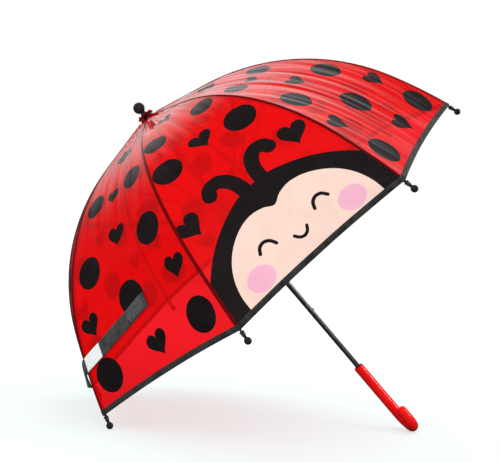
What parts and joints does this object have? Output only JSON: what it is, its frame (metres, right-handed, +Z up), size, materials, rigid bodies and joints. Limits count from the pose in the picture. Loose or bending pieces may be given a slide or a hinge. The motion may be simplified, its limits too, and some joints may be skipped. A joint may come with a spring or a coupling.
{
  "type": "umbrella",
  "caption": "Child's dome umbrella with ladybird-print clear red film, curved ribs, stretchers, sliding runner and hooked handle, lying open.",
  "frame": {"origin": "on the floor, under the middle of the umbrella's bounding box as it lies open on two rib tips and its hook", "axes": "+Z up from the floor; the shaft lies in the XZ plane with the crown towards -X and up, and the handle towards +X on the floor; +Y is level, along the widest span of the canopy, and the hook curls to -Y"},
  "size_m": [0.5379, 0.6554, 0.5285],
  "materials": {
    "film": "clear red film, glossy",
    "film_ruffle": "gathered clear red film",
    "binding": "woven tape",
    "tip_plastic": "moulded",
    "black_plastic": "moulded",
    "rib_steel": "black lacquer",
    "stretcher_steel": "black lacquer",
    "shaft_steel": "dark grey lacquer, satin",
    "bright_steel": "nickel plated",
    "handle_red": "high gloss",
    "webbing": "woven webbing",
    "hook_loop": "hook and loop",
    "label_white": "blank satin label"
  },
  "bodies": {
    "shaft_body": {"shaft_tube": "shaft_steel", "ferrule": "black_plastic", "canopy_cap": "film_ruffle", "crown_notch": "black_plastic", "crown_wire": "bright_steel", "stop_collar": "bright_steel", "catch_pins": "bright_steel", "handle_grip": "handle_red"},
    "runner_body": {"runner": "black_plastic"},
    "upper_catch_body": {"upper_catch": "bright_steel"},
    "lower_catch_body": {"lower_catch": "bright_steel"},
    "rib_body_1": {"rib_1": "rib_steel", "rib_tip_1": "tip_plastic"},
    "strut_body_1": {"stretcher_1": "stretcher_steel"},
    "rib_body_2": {"rib_2": "rib_steel", "rib_tip_2": "tip_plastic"},
    "strut_body_2": {"stretcher_2": "stretcher_steel"},
    "rib_body_3": {"rib_3": "rib_steel", "rib_tip_3": "tip_plastic"},
    "strut_body_3": {"stretcher_3": "stretcher_steel"},
    "rib_body_4": {"rib_4": "rib_steel", "rib_tip_4": "tip_plastic"},
    "strut_body_4": {"stretcher_4": "stretcher_steel"},
    "rib_body_5": {"rib_5": "rib_steel", "rib_tip_5": "tip_plastic"},
    "strut_body_5": {"stretcher_5": "stretcher_steel"},
    "rib_body_6": {"rib_6": "rib_steel", "rib_tip_6": "tip_plastic"},
    "strut_body_6": {"stretcher_6": "stretcher_steel"},
    "rib_body_7": {"rib_7": "rib_steel", "rib_tip_7": "tip_plastic"},
    "strut_body_7": {"stretcher_7": "stretcher_steel"},
    "rib_body_8": {"rib_8": "rib_steel", "rib_tip_8": "tip_plastic"},
    "strut_body_8": {"stretcher_8": "stretcher_steel"},
    "gore_body_1": {"canopy_panel_1": "film", "rim_binding_1": "binding"},
    "gore_body_2": {"canopy_panel_2": "film", "rim_binding_2": "binding"},
    "gore_body_3": {"canopy_panel_3": "film", "rim_binding_3": "binding"},
    "gore_body_4": {"canopy_panel_4": "film", "rim_binding_4": "binding"},
    "gore_body_5": {"canopy_panel_5": "film", "rim_binding_5": "binding", "tie_strap": "webbing", "strap_patch": "hook_loop", "care_label": "label_white"},
    "gore_body_6": {"canopy_panel_6": "film", "rim_binding_6": "binding"},
    "gore_body_7": {"canopy_panel_7": "film", "rim_binding_7": "binding"},
    "gore_body_8": {"canopy_panel_8": "film", "rim_binding_8": "binding"}
  },
  "joints": [
    {"name": "runner_slide", "type": "slide", "parent": "shaft_body", "child": "runner_body", "axis": [-0.7226, 0, 0.6912], "range_m": [-0.19536, 0]},
    {"name": "upper_catch_press", "type": "hinge", "parent": "shaft_body", "child": "upper_catch_body", "pos_m": [-0.00482, 0, 0.26377], "axis": [0, -1, 0], "range_deg": [0, 7], "stiffness_Nm_per_rad": 0.02, "springref_deg": -5.73},
    {"name": "lower_catch_press", "type": "hinge", "parent": "shaft_body", "child": "lower_catch_body", "pos_m": [0.0845, 0, 0.17834], "axis": [0, 1, 0], "range_deg": [0, 7], "stiffness_Nm_per_rad": 0.02, "springref_deg": -5.73},
    {"name": "rib_fold_1", "type": "hinge", "parent": "shaft_body", "child": "rib_body_1", "pos_m": [-0.17199, 0.00306, 0.4339], "axis": [-0.2645, 0.9239, -0.2765], "range_deg": [0, 50.35]},
    {"name": "strut_fold_1", "type": "hinge", "parent": "rib_body_1", "child": "strut_body_1", "pos_m": [-0.01619, 0.07172, 0.51425], "axis": [0.2645, -0.9239, 0.2765], "range_deg": [0, 85.49]},
    {"name": "rib_fold_2", "type": "hinge", "parent": "shaft_body", "child": "rib_body_2", "pos_m": [-0.17498, 0.00739, 0.43078], "axis": [-0.6386, 0.3827, -0.6676], "range_deg": [0, 50.35]},
    {"name": "strut_fold_2", "type": "hinge", "parent": "rib_body_2", "child": "strut_body_2", "pos_m": [-0.08629, 0.17315, 0.44096], "axis": [0.6386, -0.3827, 0.6676], "range_deg": [0, 85.49]},
    {"name": "rib_fold_3", "type": "hinge", "parent": "shaft_body", "child": "rib_body_3", "pos_m": [-0.17921, 0.00739, 0.42635], "axis": [-0.6386, -0.3827, -0.6676], "range_deg": [0, 50.35]},
    {"name": "strut_fold_3", "type": "hinge", "parent": "rib_body_3", "child": "strut_body_3", "pos_m": [-0.18544, 0.17315, 0.3373], "axis": [0.6386, 0.3827, 0.6676], "range_deg": [0, 85.49]},
    {"name": "rib_fold_4", "type": "hinge", "parent": "shaft_body", "child": "rib_body_4", "pos_m": [-0.1822, 0.00306, 0.42322], "axis": [-0.2645, -0.9239, -0.2765], "range_deg": [0, 50.35]},
    {"name": "strut_fold_4", "type": "hinge", "parent": "rib_body_4", "child": "strut_body_4", "pos_m": [-0.25555, 0.07172, 0.26401], "axis": [0.2645, 0.9239, 0.2765], "range_deg": [0, 85.49]},
    {"name": "rib_fold_5", "type": "hinge", "parent": "shaft_body", "child": "rib_body_5", "pos_m": [-0.1822, -0.00306, 0.42322], "axis": [0.2645, -0.9239, 0.2765], "range_deg": [0, 50.35]},
    {"name": "strut_fold_5", "type": "hinge", "parent": "rib_body_5", "child": "strut_body_5", "pos_m": [-0.25555, -0.07172, 0.26401], "axis": [-0.2645, 0.9239, -0.2765], "range_deg": [0, 85.49]},
    {"name": "rib_fold_6", "type": "hinge", "parent": "shaft_body", "child": "rib_body_6", "pos_m": [-0.17921, -0.00739, 0.42635], "axis": [0.6386, -0.3827, 0.6676], "range_deg": [0, 50.35]},
    {"name": "strut_fold_6", "type": "hinge", "parent": "rib_body_6", "child": "strut_body_6", "pos_m": [-0.18544, -0.17315, 0.3373], "axis": [-0.6386, 0.3827, -0.6676], "range_deg": [0, 85.49]},
    {"name": "rib_fold_7", "type": "hinge", "parent": "shaft_body", "child": "rib_body_7", "pos_m": [-0.17498, -0.00739, 0.43078], "axis": [0.6386, 0.3827, 0.6676], "range_deg": [0, 50.35]},
    {"name": "strut_fold_7", "type": "hinge", "parent": "rib_body_7", "child": "strut_body_7", "pos_m": [-0.08629, -0.17315, 0.44096], "axis": [-0.6386, -0.3827, -0.6676], "range_deg": [0, 85.49]},
    {"name": "rib_fold_8", "type": "hinge", "parent": "shaft_body", "child": "rib_body_8", "pos_m": [-0.17199, -0.00306, 0.4339], "axis": [0.2645, 0.9239, 0.2765], "range_deg": [0, 50.35]},
    {"name": "strut_fold_8", "type": "hinge", "parent": "rib_body_8", "child": "strut_body_8", "pos_m": [-0.01619, -0.07172, 0.51425], "axis": [-0.2645, -0.9239, -0.2765], "range_deg": [0, 85.49]},
    {"name": "gore_fold_1", "type": "hinge", "parent": "shaft_body", "child": "gore_body_1", "pos_m": [-0.17319, 0.00566, 0.43265], "axis": [-0.4888, 0.7071, -0.511], "range_deg": [0, 48.01], "deforming": ["canopy_panel_1", "rim_binding_1"]},
    {"name": "gore_fold_2", "type": "hinge", "parent": "shaft_body", "child": "gore_body_2", "pos_m": [-0.1771, 0.008, 0.42856], "axis": [-0.6912, 0, -0.7226], "range_deg": [0, 48.01], "deforming": ["canopy_panel_2", "rim_binding_2"]},
    {"name": "gore_fold_3", "type": "hinge", "parent": "shaft_body", "child": "gore_body_3", "pos_m": [-0.181, 0.00566, 0.42447], "axis": [-0.4888, -0.7071, -0.511], "range_deg": [0, 48.01], "deforming": ["canopy_panel_3", "rim_binding_3"]},
    {"name": "gore_fold_4", "type": "hinge", "parent": "shaft_body", "child": "gore_body_4", "pos_m": [-0.18263, 0, 0.42278], "axis": [0, -1, 0], "range_deg": [0, 48.01], "deforming": ["canopy_panel_4", "rim_binding_4"]},
    {"name": "gore_fold_5", "type": "hinge", "parent": "shaft_body", "child": "gore_body_5", "pos_m": [-0.181, -0.00566, 0.42447], "axis": [0.4888, -0.7071, 0.511], "range_deg": [0, 48.01], "deforming": ["canopy_panel_5", "rim_binding_5", "tie_strap", "strap_patch", "care_label"]},
    {"name": "gore_fold_6", "type": "hinge", "parent": "shaft_body", "child": "gore_body_6", "pos_m": [-0.1771, -0.008, 0.42856], "axis": [0.6912, 0, 0.7226], "range_deg": [0, 48.01], "deforming": ["canopy_panel_6", "rim_binding_6"]},
    {"name": "gore_fold_7", "type": "hinge", "parent": "shaft_body", "child": "gore_body_7", "pos_m": [-0.17319, -0.00566, 0.43265], "axis": [0.4888, 0.7071, 0.511], "range_deg": [0, 48.01], "deforming": ["canopy_panel_7", "rim_binding_7"]},
    {"name": "gore_fold_8", "type": "hinge", "parent": "shaft_body", "child": "gore_body_8", "pos_m": [-0.17156, 0, 0.43434], "axis": [0, 1, 0], "range_deg": [0, 48.01], "deforming": ["canopy_panel_8", "rim_binding_8"]}
  ],
  "couplings": [
    {"joint": "rib_fold_1", "follows": "runner_slide", "rad_per_m": -4.4977},
    {"joint": "strut_fold_1", "follows": "runner_slide", "rad_per_m": -7.6365},
    {"joint": "rib_fold_2", "follows": "runner_slide", "rad_per_m": -4.4977},
    {"joint": "strut_fold_2", "follows": "runner_slide", "rad_per_m": -7.6365},
    {"joint": "rib_fold_3", "follows": "runner_slide", "rad_per_m": -4.4977},
    {"joint": "strut_fold_3", "follows": "runner_slide", "rad_per_m": -7.6365},
    {"joint": "rib_fold_4", "follows": "runner_slide", "rad_per_m": -4.4977},
    {"joint": "strut_fold_4", "follows": "runner_slide", "rad_per_m": -7.6365},
    {"joint": "rib_fold_5", "follows": "runner_slide", "rad_per_m": -4.4977},
    {"joint": "strut_fold_5", "follows": "runner_slide", "rad_per_m": -7.6365},
    {"joint": "rib_fold_6", "follows": "runner_slide", "rad_per_m": -4.4977},
    {"joint": "strut_fold_6", "follows": "runner_slide", "rad_per_m": -7.6365},
    {"joint": "rib_fold_7", "follows": "runner_slide", "rad_per_m": -4.4977},
    {"joint": "strut_fold_7", "follows": "runner_slide", "rad_per_m": -7.6365},
    {"joint": "rib_fold_8", "follows": "runner_slide", "rad_per_m": -4.4977},
    {"joint": "strut_fold_8", "follows": "runner_slide", "rad_per_m": -7.6365},
    {"joint": "gore_fold_1", "follows": "runner_slide", "rad_per_m": -4.2883},
    {"joint": "gore_fold_2", "follows": "runner_slide", "rad_per_m": -4.2883},
    {"joint": "gore_fold_3", "follows": "runner_slide", "rad_per_m": -4.2883},
    {"joint": "gore_fold_4", "follows": "runner_slide", "rad_per_m": -4.2883},
    {"joint": "gore_fold_5", "follows": "runner_slide", "rad_per_m": -4.2883},
    {"joint": "gore_fold_6", "follows": "runner_slide", "rad_per_m": -4.2883},
    {"joint": "gore_fold_7", "follows": "runner_slide", "rad_per_m": -4.2883},
    {"joint": "gore_fold_8", "follows": "runner_slide", "rad_per_m": -4.2883}
  ]
}
